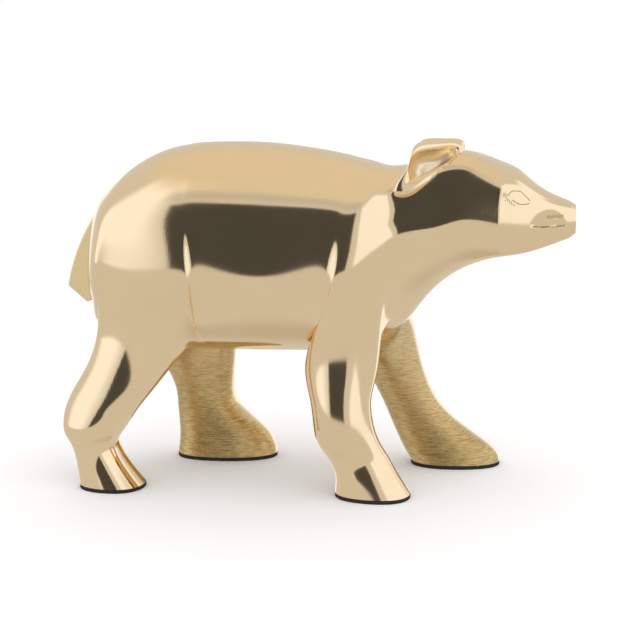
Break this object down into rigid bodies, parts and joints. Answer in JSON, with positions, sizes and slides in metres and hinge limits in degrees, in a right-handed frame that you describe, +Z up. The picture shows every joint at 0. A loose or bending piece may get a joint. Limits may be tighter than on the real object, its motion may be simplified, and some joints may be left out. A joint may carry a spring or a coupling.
{
  "type": "bear ornament",
  "caption": "Small polished brass bear ornament in a walking pose with its head held forward, cast hollow in right and left halves, with cupped ears, a stub tail and black sole pads to stand on.",
  "frame": {"origin": "middle of the footprint of the bounding box, on the surface that the pads stand on", "axes": "+X from the rump to the nose, +Y to the bear's left side, +Z up"},
  "size_m": [0.2484, 0.0924, 0.1673],
  "materials": {
    "body_brass": "polished, with the inner sides of the legs left coarsely filed",
    "ear_brass": "polished, finely brushed inside the cup",
    "tail_brass": "polished",
    "pad_felt": "matte black felt"
  },
  "bodies": {
    "root": {"body_right_half": "body_brass", "body_left_half": "body_brass", "ear_right": "ear_brass", "ear_left": "ear_brass", "tail": "tail_brass", "pad_right_rear": "pad_felt", "pad_left_rear": "pad_felt", "pad_right_front": "pad_felt", "pad_left_front": "pad_felt"}
  },
  "joints": []
}
